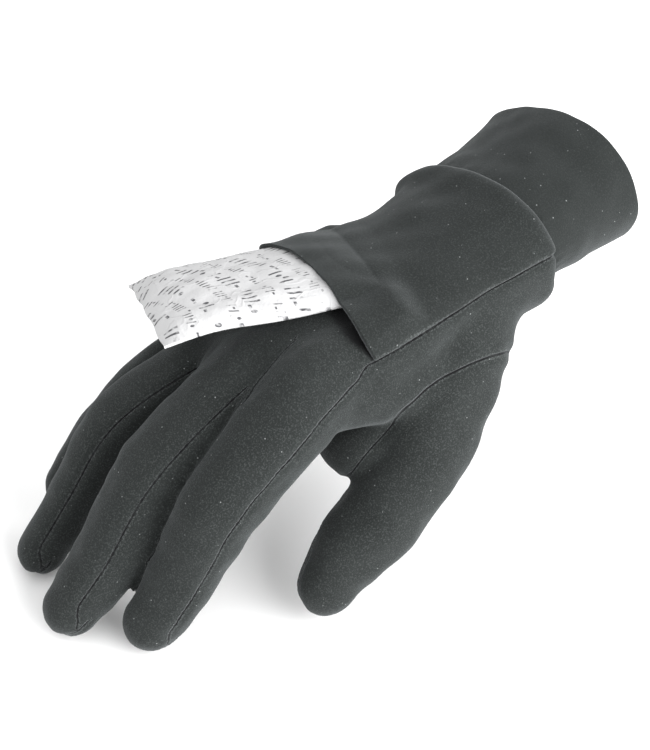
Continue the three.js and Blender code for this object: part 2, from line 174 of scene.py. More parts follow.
def gridFaces(rows, columns, closed=False, ring=False, first=0):
    # Quads of a grid of rows x columns points, with the columns, and the rows too, closed in a loop if asked.
    i, j = np.meshgrid(np.arange(rows - (not ring)), np.arange(columns - (not closed)), indexing="ij")
    nextRow, nextColumn = (i + 1) % rows * columns, (j + 1) % columns
    quads = np.stack([i * columns + j, i * columns + nextColumn, nextRow + nextColumn, nextRow + j], -1)
    return quads.reshape(-1, 4) + first


def closedTube(grid):
    # A tube's grid of rings, closed at both ends by a fan to the ring's middle.
    rows, columns = grid.shape[:2]
    points = np.vstack([grid.reshape(-1, 3), grid[0].mean(0), grid[-1].mean(0)])
    j = np.arange(columns)
    k = (j + 1) % columns
    start = np.stack([np.full(columns, rows * columns), k, j], -1)
    last = (rows - 1) * columns
    end = np.stack([np.full(columns, rows * columns + 1), last + j, last + k], -1)
    return points, gridFaces(rows, columns, True).tolist() + start.tolist() + end.tolist()


def vertexNormals(points, quads):
    # Each face's diagonal cross product, summed on its corners.
    cross = np.cross(points[quads[:, 2]] - points[quads[:, 0]], points[quads[:, 3]] - points[quads[:, 1]])
    sums = np.zeros_like(points)
    for corner in range(4):
        for axis in range(3):
            sums[:, axis] += np.bincount(quads[:, corner], cross[:, axis], len(points))
    return unit(sums)


def neighbourMean(points, edges):
    # For each point, the mean of the points that an edge joins to it.
    sums = np.zeros_like(points)
    count = np.bincount(edges.ravel(), minlength=len(points))
    for a, b in ((0, 1), (1, 0)):
        for axis in range(3):
            sums[:, axis] += np.bincount(edges[:, a], points[edges[:, b], axis], len(points))
    return sums / np.maximum(count, 1)[:, None]


# Palm and wrist, from the rows above, blurred along the palm
fineAt = np.linspace(-0.1, palmRows[-1, 0], 260)
blur = np.exp(-np.linspace(-2, 2, 25) ** 2)
blur /= blur.sum()


def blurred(values):
    # Each value averaged with its neighbours, by a weight that falls as a bell curve.
    return np.convolve(np.pad(values, len(blur) // 2, "edge"), blur, "valid")


palmTable = {
    name: blurred(np.interp(fineAt, palmRows[:, 0], palmRows[:, i])) for i, name in enumerate(palmColumns)
}


def palmSection(share):
    # Half width, half depth, middle, seam height and lead of the palm at a share of its length.
    column = {name: np.interp(share, fineAt, palmTable[name]) for name in palmColumns}
    toThumb = palm["wristThumb"] + (palm["knuckleThumb"] - palm["wristThumb"]) * column["thumb"]
    toLittle = palm["wristLittle"] + (palm["knuckleLittle"] - palm["wristLittle"]) * column["little"]
    deep = palm["wristDepth"] + (palm["knuckleDepth"] - palm["wristDepth"]) * column["deep"]
    close = column["close"]
    return dict(
        middle=(toThumb - toLittle) / 2, width=close * (toThumb + toLittle) / 2, depth=close * deep,
        lead=(1 - close) / (1 - palmRows[-1, 4]), seam=column["seam"],
    )


def bent(points, share, middle):
    # The knuckles lie on an arc: the sides are carried back by their share of it.
    aside = (points[..., 0] - middle) / palm["knuckleThumb"]
    points[..., 1] += palm["arc"] * np.minimum(share, 1) ** 2 * aside ** 2
    return points


def cuffPoint(share, angle, grow):
    # Point of the cuff's skin, a superellipse turned a little to the little finger's side.
    yaw = np.radians(cuff["yaw"]) * (1 - (1 - np.clip(share, 0, 1)) ** 2)
    reach = cuff["gap"] + share * (cuff["length"] - cuff["gap"])
    width = cuff["seamWidth"] + (cuff["rimWidth"] - cuff["seamWidth"]) * share ** 2 + grow
    depth = cuff["seamDepth"] + (cuff["rimDepth"] - cuff["seamDepth"]) * share ** 2 + grow
    x, z = superellipse(angle)
    z = np.where(z < 0, z * (1 - cuff["under"] * (1 - np.clip(share, 0, 1)) ** 1.5), z)
    return np.stack([
        cuff["offset"] - np.sin(yaw) * reach + x * width * np.cos(yaw),
        np.cos(yaw) * reach + x * width * np.sin(yaw),
        z * depth,
    ], -1)


def handPoint(share, angle, grow):
    # Skin of the palm at a share of its length and an angle. Near the wrist seam it rounds in to the cuff,
    # by one minus the height of a quarter circle.
    share, angle, grow = np.broadcast_arrays(share, angle, grow)
    part = palmSection(share)
    x, z = superellipse(angle)
    points = np.stack([
        part["middle"] + x * (part["width"] + grow),
        -share * palm["length"] - part["lead"] * grow,
        z * (part["depth"] + grow),
    ], -1)
    points = bent(points, share, part["middle"])
    for at, middle, high in puffs:
        turned = (np.degrees(angle) - middle + 180) % 360 - 180
        spread = ((share - at) / puffSpread["length"]) ** 2 + (turned / puffSpread["turn"]) ** 2
        bulge = high * np.exp(-spread)
        points[..., 0] += bulge * x
        points[..., 2] += bulge * z
    near = np.clip(1 + points[..., 1] / palm["wristRound"], 0, 1)
    pull = (1 - np.sqrt(np.maximum(1 - near ** 2, 0)))[..., None]
    seamRing = cuffPoint(np.zeros_like(share), angle, grow + palm["overCuff"])
    seamRing[..., 1] = points[..., 1]
    return points + pull * (seamRing - points)


# Fingers and thumb: where each knuckle lies, turns in degrees, and bones and radii from the knuckle to the tip
fingers = [
    dict(name="index", ahead=77.5, aside=26, above=0, splay=7, twist=-28,
         bends=[32, 24, -5], bones=[43.5, 25, 20.4], radii=[12.7, 11.7, 10.4, 8.4]),
    dict(name="middle", ahead=80.5, aside=5, above=2.2, splay=-10, twist=-4,
         bends=[22, 18, -5], bones=[46, 29, 19.5], radii=[12.6, 11.9, 10.6, 8.6]),
    dict(name="ring", ahead=74.5, aside=-14, above=1, splay=-20, twist=0,
         bends=[12, 26, 1], bones=[45.5, 28.5, 21.8], radii=[10.8, 9.7, 8.8, 7.6]),
    dict(name="little", ahead=65.5, aside=-31, above=-4, splay=-20, twist=0,
         bends=[8, 21, 10], bones=[38, 22, 20.5], radii=[10.5, 9, 8, 6.8]),
]
fingerRoot = dict(back=24, inward=0.2, lower=1, radius=0.8)
digitForm = dict(depth=0.96, tip=1.12, seam=0.5)
thumb = dict(
    root=[20, -21.5, -3], bones=[43.5, 30, 23.8], aside=[16, 0, -5], down=[46, 31, 31],
    radii=[18, 15.8, 12.9, 8.7],
    seamPoint=[35.3, -47.5, -15.4], outwards=43, forwards=14, seamReach=[1.2, 10],
    dipWay=[0.554, 0.784, -0.281], dipFrom=-9, dipRun=17, dipMost=1.6, dip=5,
)
# Places and radii along the web between thumb and palm, and along the palm's inner side
webRun = np.array([[20, -24, -6, 13], [25, -45.5, -10, 13], [26, -62, -10.5, 11.4], [25.5, -76, -6.5, 10]])
innerRun = np.array([[27, -47, -31, 12], [17, -66, -33.2, 11], [7, -67, -30, 9], [2, -62, -18, 9]])
# Webbing between neighbouring fingers: where it starts, where its last joint lies, how low and how thick
webbing = dict(start=8, ends=[33, 36, 28], lower=1.5, radii=[10.5, 9.5, 8.5])
# How the worn hand departs from plain tubes: share of the length, millimetres to the upper left, of radius
trims = dict(
    index=[[0.25, 0, 0], [0.35, -0.5, 0.4], [0.5, -0.3, 0.3], [0.7, 0, 0.1], [0.9, -0.3, 0.1], [1, 1.1, 0.2]],
    middle=[[0.7, 0, 0], [0.88, -0.2, 0.5], [0.95, 0.2, 0], [1, 0.2, 0]],
    ring=[[0.6, 0, 0], [0.8, -0.7, 0], [0.88, -1.1, 0], [0.95, -0.7, 0.2], [1, -0.2, 0.2]],
    little=[[0.2, -0.9, -0.2], [0.5, -0.9, -0.2], [0.7, -0.7, -0.1], [0.8, -0.4, 0], [1, 0, 0]],
    thumb=[[0.25, 0, 0], [0.35, 0.3, -0.5], [0.45, 0.1, -0.5], [0.52, -0.4, -0.9], [0.6, -1, -1.5],
           [0.7, -1.1, 0], [0.78, 0.9, 0.6], [0.86, 1.3, 0.1], [1, 0.3, -0.4]],
)
trimWay = np.array([-0.615, -0.379, 0.685])


def hermite(t, start, leave, arrive, end):
    # Cubic curve between two points, with its direction given at both.
    return ((2 * t ** 3 - 3 * t ** 2 + 1) * start + (t ** 3 - 2 * t ** 2 + t) * leave
            + (3 * t ** 2 - 2 * t ** 3) * end + (t ** 3 - t ** 2) * arrive)


def lengthAlong(points):
    return np.concatenate([[0], np.cumsum(np.linalg.norm(np.diff(points, axis=0), axis=1))])


def smoothPath(joints, perSpan=40):
    # Centripetal Catmull-Rom curve through the joints, as points and their lengths along it.
    joints = np.asarray(joints, float)
    whole = np.vstack([2 * joints[0] - joints[1], joints, 2 * joints[-1] - joints[-2]])
    t = np.linspace(0, 1, perSpan, endpoint=False)[:, None]
    spans = []
    for p0, p1, p2, p3 in zip(whole, whole[1:], whole[2:], whole[3:]):
        d0, d1, d2 = (np.linalg.norm(b - a) ** 0.5 for a, b in ((p0, p1), (p1, p2), (p2, p3)))
        m1 = ((p1 - p0) / d0 - (p2 - p0) / (d0 + d1) + (p2 - p1) / d1) * d1
        m2 = ((p2 - p1) / d1 - (p3 - p1) / (d1 + d2) + (p3 - p2) / d2) * d1
        spans.append(hermite(t, p1, m1, m2, p2))
    points = np.vstack([*spans, joints[-1:]])
    return points, lengthAlong(points)


def digit(name, joints, side, radii):
    # Centre line, frame and radius of a finger or thumb at 400 places along it.
    joints = np.asarray(joints, float)
    end = joints[-1] + unit(joints[-1] - joints[-2]) * radii[-1]
    points, along = smoothPath(np.vstack([joints, end]))
    length = along[-1]
    at = np.linspace(0, length, 400)
    middle = np.stack([np.interp(at, along, points[:, a]) for a in range(3)], -1)
    tangent = unit(np.gradient(middle, at, axis=0))
    up = unit(np.cross(tangent, side))
    across = unit(np.cross(up, tangent))
    knots = lengthAlong(joints)
    trim = np.array(trims.get(name, [[0, 0, 0]]))
    sway, swell = (blurred(np.interp(at / length, trim[:, 0], trim[:, column])) for column in (1, 2))
    middle = middle + sway[:, None] * trimWay
    full = blurred(np.interp(at, knots, radii)) + swell
    cap = digitForm["tip"] * radii[-1]
    inCap = np.maximum(0, 1 - (length - at) / cap)
    return dict(length=length, at=at, middle=middle, tangent=tangent, up=up, across=across, inCap=inCap,
                radius=full * np.sqrt(np.maximum(1 - inCap ** 2, 0)), cap=cap, knots=knots)


def digitPoint(one, along, angle, grow=0.0):
    # Point of a digit's skin, a superellipse ring round its centre line.
    along, angle, grow = np.broadcast_arrays(np.asarray(along, float), angle, grow)

    def take(key):
        return np.stack([np.interp(along, one["at"], one[key][:, a]) for a in range(3)], -1)

    radius = np.interp(along, one["at"], one["radius"])
    lead = np.interp(along, one["at"], one["inCap"]) * grow
    x, z = superellipse(angle)
    width = np.maximum(radius + grow, 0.02)
    depth = np.maximum(radius * digitForm["depth"] + grow, 0.02)
    return (take("middle") + take("across") * (x * width)[..., None] + take("up") * (z * depth)[..., None]
            + take("tangent") * lead[..., None])


def makeFinger(one):
    # A root inside the palm, the knuckle and three bones, each bent further down than the one before.
    turn = np.radians(one["splay"])
    forward = np.array([np.sin(turn), -np.cos(turn), 0])
    twist = rotation(forward, one["twist"])
    side = twist @ np.array([np.cos(turn), np.sin(turn), 0])
    up = twist @ np.array([0, 0, 1])
    knuckle = np.array([one["aside"], -one["ahead"], one["above"]], float)
    root = [-one["aside"] * fingerRoot["inward"], fingerRoot["back"], -fingerRoot["lower"]]
    joints = [knuckle + root, knuckle]
    for bend, bone in zip(np.radians(np.cumsum(one["bends"])), one["bones"]):
        joints.append(joints[-1] + bone * (forward * np.cos(bend) - up * np.sin(bend)))
    radii = [one["radii"][0] * fingerRoot["radius"], *one["radii"]]
    return digit(one["name"], joints, side, radii)


def makeThumb():
    joints = [np.array(thumb["root"], float)]
    for bone, aside, down in zip(thumb["bones"], np.radians(thumb["aside"]), np.radians(thumb["down"])):
        way = np.array([np.sin(aside) * np.cos(down), -np.cos(aside) * np.cos(down), -np.sin(down)])
        joints.append(joints[-1] + bone * way)
    return digit("thumb", joints, np.array([1.0, 0, 0]), thumb["radii"])


def makeWebbing(one, two, reach, radius):
    # A tube along the middle between two fingers.
    along = np.array([webbing["start"], (webbing["start"] + reach) / 2, reach])
    lines = [[np.interp(along, each["at"], each["middle"][:, a]) for a in range(3)] for each in (one, two)]
    joints = (np.array(lines[0]) + lines[1]).T / 2 - [0, 0, webbing["lower"]]
    return digit("webbing", joints, np.array([1.0, 0, 0]), [radius] * 3)


digits = [makeFinger(one) for one in fingers]
fillers = [makeWebbing(*both) for both in zip(digits, digits[1:], webbing["ends"], webbing["radii"])]
thumbRun = makeThumb()
web = digit("web", webRun[:, :3], np.array([1.0, 0, 0]), webRun[:, 3])
inner = digit("inner", innerRun[:, :3], np.array([0, 0, 1.0]), innerRun[:, 3])
seamAngle = np.arcsin(digitForm["seam"] ** (palm["roundness"] / 2))

# Seams, as paths on the skin with the skin's direction at each point
seamForm = dict(
    rootFrom=0.85, sideDrop=0.75, tipFloor=-0.2, tipFrom=0.35, tipOver=0.35, tipPower=1.6, tipGap=0.02,
    firstEnd=0.97, lastEnd=0.92, thumbFrom=0.5, thumbTo=0.995, thumbTurnFrom=0.6, thumbTurnRun=0.35,
    thumbSide=150, thumbTip=112, far=99.0, window=5,
)


def seamPath(points, outward):
    return dict(points=points, outward=unit(outward), run=lengthAlong(points))


def digitSeam(one, along, angle):
    points = digitPoint(one, along, angle)
    return seamPath(points, digitPoint(one, along, angle, 1.0) - points)


def fingerSeams(one):
    # Down both sides of the back, and round the tip where the back meets the palm.
    start = one["knots"][1] * seamForm["rootFrom"]
    lastSide = one["length"] - one["cap"] * (1 - seamForm["tipFrom"])
    down = np.linspace(start, lastSide, 50)
    drop = smoothStep((down - lastSide + one["cap"]) / one["cap"]) ** 2
    low = seamForm["tipFloor"]
    angle = seamAngle + (low - seamAngle) * drop * seamForm["sideDrop"]
    sides = [digitSeam(one, down, angle), digitSeam(one, down, np.pi - angle)]
    t = np.linspace(-1, 1, 41)
    inward = 1 - seamForm["tipFrom"] + seamForm["tipOver"]
    along = one["length"] - one["cap"] * inward * np.abs(t) ** seamForm["tipPower"]
    angle = np.where(t > 0, low, np.pi - low)
    return [*sides, digitSeam(one, np.minimum(along, one["length"] - seamForm["tipGap"]), angle)]


def palmSeam(sign):
    # Where the back and the palm are sewn, from the wrist to the first or last knuckle.
    share = np.linspace(0.0, seamForm["firstEnd" if sign > 0 else "lastEnd"], 60)
    edge = np.arcsin(palmSection(share)["seam"] ** (palm["roundness"] / 2))
    angle = edge if sign > 0 else np.pi - edge
    points = handPoint(share, angle, 0.0)
    return seamPath(points, handPoint(share, angle, 1.0) - points)


def joiningSeam(first, second):
    # A cubic Hermite curve from the end of one seam to the start of another.
    a, b = first["points"][-1], second["points"][0]
    reach = np.linalg.norm(b - a)
    leave, arrive = (reach * unit(way) for way in (a - first["points"][-3], second["points"][2] - b))
    t = np.linspace(0, 1, 24)[:, None]
    points = hermite(t, a, leave, arrive, b)
    return seamPath(points, first["outward"][-1] * (1 - t) + second["outward"][0] * t)


def thumbSideSeam():
    # Down the inner side of the thumb, coming round to its back at the tip.
    down = np.linspace(seamForm["thumbFrom"], seamForm["thumbTo"], 60)
    turned = smoothStep((down - seamForm["thumbTurnFrom"]) / seamForm["thumbTurnRun"])
    angle = seamForm["thumbSide"] + (seamForm["thumbTip"] - seamForm["thumbSide"]) * turned
    return digitSeam(thumbRun, down * thumbRun["length"], np.radians(angle))


digitSeams = [fingerSeams(one) for one in digits]
palmSeams = [palmSeam(1), palmSeam(-1)]
seams = [seam for group in digitSeams for seam in group]
seams += [*palmSeams, thumbSideSeam()]
seams += [joiningSeam(palmSeams[0], digitSeams[0][0]), joiningSeam(palmSeams[1], digitSeams[3][1])]


def layOnSkin(points):
    # Each seam point is moved along its outward direction to the height of the nearest skin point.
    tree = KDTree(len(points))
    for index, point in enumerate(points):
        tree.insert(point, index)
    tree.balance()
    for seam in seams:
        found = np.array([tree.find(point)[0] for point in seam["points"]])
        rise = ((found - seam["points"]) * seam["outward"]).sum(-1)
        seam["points"] = seam["points"] + rise[:, None] * seam["outward"]


def seamFields(points):
    # Distance to the nearest seam, the same with its side's sign, and the length run along that seam.
    near, side = np.full((2, len(points)), seamForm["far"])
    run = np.zeros(len(points))
    for seam in seams:
        low, high = seam["points"].min(0) - seamForm["window"], seam["points"].max(0) + seamForm["window"]
        chosen = np.nonzero(((points > low) & (points < high)).all(1))[0]
        if not len(chosen):
            continue
        a, b = seam["points"][:-1], seam["points"][1:]
        span = b - a
        offset = points[chosen, None] - a
        t = np.clip((offset * span).sum(-1) / np.maximum((span ** 2).sum(-1), 1e-9), 0, 1)
        gap = np.linalg.norm(offset - t[..., None] * span, axis=-1)
        best = gap.argmin(1)
        rows = np.arange(len(chosen))
        distance = gap[rows, best]
        lateral = unit(np.cross(seam["outward"][:-1], unit(span)))
        sign = np.sign((offset[rows, best] * lateral[best]).sum(-1))
        closer = distance < near[chosen]
        index = chosen[closer]
        near[index] = distance[closer]
        side[index] = (sign * distance)[closer]
        run[index] = (seam["run"][best] + t[rows, best] * np.linalg.norm(span, axis=1)[best])[closer]
    return near, side, run


def thumbPlane(points):
    # Signed distance beyond the thumb's round seam, and a mask of the skin around it. The seam lies in a plane
    # that dips into the web, by the power 1.5 of the length along a slanting line.
    normal = rotation((0, 0, 1), -thumb["forwards"]) @ rotation((0, 1, 0), -thumb["outwards"]) @ [0, 0, -1.0]
    beyond = (points - np.array(thumb["seamPoint"])) @ normal
    inward = np.maximum(0, thumb["dipFrom"] - points @ np.array(thumb["dipWay"])) / thumb["dipRun"]
    beyond = beyond - thumb["dip"] * np.minimum(inward, thumb["dipMost"]) ** 1.5
    middle, radius = thumbRun["middle"][::8], thumbRun["radius"][::8]
    index = np.linalg.norm(points[:, None] - middle, axis=-1).argmin(1)
    away = np.linalg.norm(points - middle[index], axis=-1)
    share, more = thumb["seamReach"]
    return beyond, away < radius[index] * share + more


# The whole skin of the hand
skin = dict(
    voxel=1.25, wall=1.2, smoothing=9, stepIn=0.5, stepOut=0.52, softening=60,
    groove=0.45, grooveWidth=1.1, ridge=0.16, ridgeAt=2.3, ridgeWidth=0.9,
    uneven=[(0.22, 17, 3), (0.1, 8, 4)],    # height, size and seed of two soft noises
)
# Middle and reach of extra smoothing: web of the thumb, wrist, and between the knuckles
softPlaces = np.array([
    [28, -62, -8, 18], [36, -8, -12, 10], [14, -84, 8, 13], [-6, -82, 8, 13], [-24, -76, 5, 12],
])


def skinCage():
    # All tubes as one mesh, not yet joined.
    turn = np.linspace(0, 2 * np.pi, 97)[:-1]
    shares = np.linspace(-0.1, palmRows[-1, 0], 90)[:, None]
    tubes = [handPoint(shares, turn[None], 0.0)]
    for one in [*digits, *fillers, thumbRun, web, inner]:
        body = np.linspace(0, one["length"] - one["cap"], 60)
        tip = one["length"] - one["cap"] * (1 - np.sin(np.linspace(0, np.pi / 2, 16)[1:]))
        along = np.concatenate([body, np.minimum(tip, one["length"] - 0.01)])
        tubes.append(digitPoint(one, along[:, None], turn[None, ::2]))
    points, faces = np.empty((0, 3)), []
    for tube in tubes:
        more, quads = closedTube(tube)
        faces += [[index + len(points) for index in face] for face in quads]
        points = np.vstack([points, more])
    cage = meshObject("skin_cage", points, faces, None)
    turnOutwards(cage)
    return cage


def skinMesh(material):
    # The tubes are joined by a voxel remesh, smoothed without shrinking (a step in, a slightly larger step
    # out), creased along the seams, cut open at the wrist and given a wall.
    cage = skinCage()
    remesh = cage.modifiers.new("union", "REMESH")
    remesh.mode = "VOXEL"
    remesh.voxel_size = skin["voxel"]
    evaluated = cage.evaluated_get(bpy.context.evaluated_depsgraph_get())
    mesh = bpy.data.meshes.new_from_object(evaluated)
    bpy.data.objects.remove(cage)
    points = meshPoints(mesh)
    edges = np.empty(len(mesh.edges) * 2, int)
    mesh.edges.foreach_get("vertices", edges)
    edges = edges.reshape(-1, 2)
    quads = np.array([tuple(face.vertices) for face in mesh.polygons if len(face.vertices) == 4])
    print("skin remeshed:", len(points), "points", len(quads), "of", len(mesh.polygons), "faces are quads")
    for _ in range(skin["smoothing"]):
        points = points + skin["stepIn"] * (neighbourMean(points, edges) - points)
        points = points - skin["stepOut"] * (neighbourMean(points, edges) - points)
    away = np.linalg.norm(points[:, None] - softPlaces[:, :3], axis=-1)
    softened = np.exp(-(away / softPlaces[:, 3]) ** 4).max(1)[:, None]
    for _ in range(skin["softening"]):
        points = points + skin["stepIn"] * softened * (neighbourMean(points, edges) - points)
    normals = vertexNormals(points, quads)
    layOnSkin(points)
    near, side, run = seamFields(points)
    beyond, onThumb = thumbPlane(points)
    ringed = onThumb & (np.abs(beyond) < near)
    near = np.where(ringed, np.abs(beyond), near)
    side = np.where(ringed, -beyond, side)
    crease = -skin["groove"] * np.exp(-(near / skin["grooveWidth"]) ** 2)
    crease += skin["ridge"] * np.exp(-((near - skin["ridgeAt"]) / skin["ridgeWidth"]) ** 2)
    soft = sum(high * ripple(points, size, seed) for high, size, seed in skin["uneven"])
    points = points + normals * (crease + soft)[:, None]
    made = meshObject("glove_skin", points, quads.tolist(), material)
    # The last attribute is the mask of painted shade on the hand under the pocket's lip
    setAttributes(made, seamNear=near, seamSide=side, seamRun=run, covered=shadeUnderLip(points))
    cutAt(made, Vector((0, 0, 0)), Vector((0, 1, 0)))
    place(made)
    wall = made.modifiers.new("wall", "SOLIDIFY")
    wall.thickness = skin["wall"] * mm
    wall.offset = -1
    return made


def shadeUnderLip(points):
    # How far inside the pocket's mouth line a point on the back of the hand lies, as a soft step: the mask of
    # painted shade on the cloth under the pocket's lip.
    at = pocket["lineEdge"] + (1 - 2 * pocket["lineEdge"]) * mouthAt
    line = handPoint(mouthReach / palm["length"], np.pi * at, 0.0)[::-1]
    inside = points[:, 1] - np.interp(points[:, 0], line[:, 0], line[:, 1], left=99, right=99)
    far = smoothStep((line[-1, 0] - points[:, 0]) / pocket["shadeRun"])
    covered = smoothStep((inside + pocket["shadeFrom"] + pocket["shade"] * far) / pocket["shadeSoft"])
    return covered * smoothStep((points[:, 2] - pocket["backFrom"]) / pocket["backRun"])


def turnOutwards(thing):
    work = bmesh.new()
    work.from_mesh(thing.data)
    bmesh.ops.recalc_face_normals(work, faces=work.faces)
    work.to_mesh(thing.data)
    work.free()


def cutAt(thing, point, normal):
    work = bmesh.new()
    work.from_mesh(thing.data)
    everything = work.verts[:] + work.edges[:] + work.faces[:]
    bmesh.ops.bisect_plane(work, geom=everything, plane_co=point, plane_no=normal, clear_outer=True)
    work.to_mesh(thing.data)
    work.free()


def place(thing):
    # Swings the thumb's side of the wrist back, by the width from the other side and fading with the square of
    # the length, then tilts and scales the mesh itself, so that the object stays at the origin.
    points = meshPoints(thing.data)
    fade = np.exp(-(points[:, 1] / palm["swingFade"]) ** 2)
    points[:, 1] += palm["swing"] * (points[:, 0] + palm["wristLittle"]) * fade
    thing.data.vertices.foreach_set("co", (points @ stand.T * mm).ravel())
    thing.data.update()
    return thing


def cuffMesh(material):
    # A turned double layer, carried round the wrist as a closed profile from the seam to the rim and back,
    # gathered beside the seam by a sine that fades with the length.
    turn = np.linspace(0, 2 * np.pi, 221)[:-1]
    down = np.linspace(0, 1, 46)
    half = cuff["wall"] / 2
    lip = np.linspace(-np.pi / 2, np.pi / 2, 9)[1:-1]
    share = np.concatenate([down, 1 + half * np.cos(lip) / cuff["length"], down[::-1]])[:, None]
    grow = np.concatenate([0 * down, -half - half * np.sin(lip), 0 * down - cuff["wall"]])[:, None]
    points = cuffPoint(share, turn[None], grow)
    outward = unit(cuffPoint(share, turn[None], grow + 1) - points)
    around = np.broadcast_to(turn * cuff["seamWidth"], points.shape[:2])
    gathered = np.sin(2 * np.pi * around / cuff["puckerWave"])
    gathered = gathered * np.exp(-share * cuff["length"] / cuff["puckerRun"])
    sway = cuff["sway"] * (cuff["swayFrom"] + share) * ripple(points, 30, 21)
    fine = cuff["fine"] * ripple(points, 9, 22)
    points = points + outward * (cuff["pucker"] * gathered + sway + fine)[..., None]
    quads = gridFaces(*points.shape[:2], True, True)[:, ::-1]
    return place(meshObject("cuff_band", points.reshape(-1, 3), quads.tolist(), material))


# Heat pack: a flat sachet, half in the pocket on the back of the hand and half straight out over the knuckles
pack = dict(
    length=64, width=53, thickness=4, edge=0.9, ahead=101.5, aside=19, yaw=17.5, level=15.4, lift=9,
    bowFar=4, bowNear=1.6, bowOuter=0.1, bowFrom=0.4, bowRun=1.1, gap=0.5, rest=0.75,
    longWave=(0.01, 7.3, 1.1), sideWave=(0.007, 11, 0.4), waveFade=8, curl=(0.5, 5.5, 0.8), edgeFade=10,
    crinkle=0.45, crinkleAspect=0.8, crinkleEdge=0.25, crinkleBase=0.25,
    crinkleCells=[(5, 52), (9, 26)],        # seed and number of cells of two layers of crinkles
)


def onPack(x, y):
    # Place on the pack as shares of its half length (outwards) and half width (to the thumb).
    yaw = np.radians(pack["yaw"])
    dx, dy = x + pack["aside"], y + pack["ahead"]
    out = -dx * np.sin(yaw) - dy * np.cos(yaw) + pack["length"] / 2
    aside = dx * np.cos(yaw) - dy * np.sin(yaw)
    return out / (pack["length"] / 2), aside / (pack["width"] / 2)


def fromPack(out, aside):
    # The way back from such shares to the palm's frame.
    yaw = np.radians(pack["yaw"])
    far, wide = (out - 1) * pack["length"] / 2, aside * pack["width"] / 2
    return (-pack["aside"] - far * np.sin(yaw) + wide * np.cos(yaw),
            -pack["ahead"] - far * np.cos(yaw) - wide * np.sin(yaw))


def bedHeight(x, y):
    # Height of the pack's underside: on the back of the hand in the pocket, rising to its outer end, bowed
    # down to both sides by the square of the share, least at the thumb's side.
    share = -y / palm["length"]
    for _ in range(3):
        bend = palm["arc"] * np.minimum(share, 1) ** 2 * (x / palm["knuckleThumb"]) ** 2
        share = (bend - y) / palm["length"]
    part = palmSection(np.clip(share, 0, palm["knuckleAt"]))
    across = np.minimum(np.abs(x - part["middle"]) / part["width"], pack["rest"])
    back = part["depth"] * (1 - across ** palm["roundness"]) ** (1 / palm["roundness"])
    out, aside = onPack(x, y)
    bowed = smoothStep((out + pack["bowFrom"]) / pack["bowRun"])
    bowNear = pack["bowNear"] + (pack["bowOuter"] - pack["bowNear"]) * bowed
    lower = np.where(aside > 0, bowNear, pack["bowFar"]) * np.minimum(aside ** 2, 1)
    return np.maximum(back + pack["gap"], pack["level"] - lower + pack["lift"] * smoothStep((out + 1) / 2))


def packDepth(out, aside):
    # Thick in the middle and thin along the pressed edges: one less a sixth power each way.
    full = np.maximum(0, 1 - np.abs(out) ** 6) * np.maximum(0, 1 - np.abs(aside) ** 6)
    return pack["edge"] + (pack["thickness"] - pack["edge"]) * full


def crinkleAt(u, v, seed, cells):
    # Crinkles: distance to the nearest of many scattered points, which meets in sharp folds between them.
    draw = np.random.default_rng(seed)
    spots = draw.uniform(-1.05, 1.05, (cells, 2))
    gap = np.hypot(u[..., None] - spots[:, 0], (v[..., None] - spots[:, 1]) * pack["crinkleAspect"])
    return 1 - 2 * np.clip(gap.min(-1) / (2 / np.sqrt(cells)), 0, 1)


def packMesh(material):
    # The edges wave in the sheet's own plane by sines that fade inwards, and the outer end curls by a sine
    # across it that grows with the square of the length.
    rows, columns = 150, 124
    u = np.sin(np.linspace(-np.pi / 2, np.pi / 2, rows))[:, None] * np.ones(columns)
    v = np.sin(np.linspace(-np.pi / 2, np.pi / 2, columns))[None] * np.ones((rows, 1))
    fade = pack["waveFade"]
    grow = 1 + sineWave(u, *pack["longWave"]) * v ** fade + sineWave(v, *pack["sideWave"]) * u ** fade
    x, y = fromPack(u * grow, v * grow)
    bed = bedHeight(x, y) + sineWave(v, *pack["curl"]) * np.maximum(0, u) ** 2
    middle = np.maximum(0, 1 - u ** pack["edgeFade"]) * np.maximum(0, 1 - v ** pack["edgeFade"])
    creased = pack["crinkle"] * sum(crinkleAt(u, v, seed, cells) for seed, cells in pack["crinkleCells"])
    top = bed + packDepth(u, v) + creased * (pack["crinkleEdge"] + (1 - pack["crinkleEdge"]) * middle)
    base = bed + pack["crinkleBase"] * creased * middle
    points = np.concatenate([np.stack([x, y, top], -1), np.stack([x, y, base], -1)]).reshape(-1, 3)
    made = meshObject("pack_sachet", points, sheetFaces(rows, columns), material)
    setAttributes(made, 2, sachetAlong=u * pack["length"] / 2, sachetAcross=v * pack["width"] / 2)
    return place(made)


def sheetFaces(rows, columns):
    # Faces of a closed sheet: an upper grid, a lower grid turned over, and a rim between their outer loops.
    upper = gridFaces(rows, columns)
    lower = gridFaces(rows, columns, first=rows * columns)
    index = np.arange(rows * columns).reshape(rows, columns)
    loop = np.concatenate([index[0, :-1], index[:-1, -1], index[-1, :0:-1], index[:0:-1, 0]])
    after = np.roll(loop, -1)
    rim = np.stack([loop, loop + rows * columns, after + rows * columns, after], -1)
    return upper.tolist() + lower[:, ::-1].tolist() + rim.tolist()


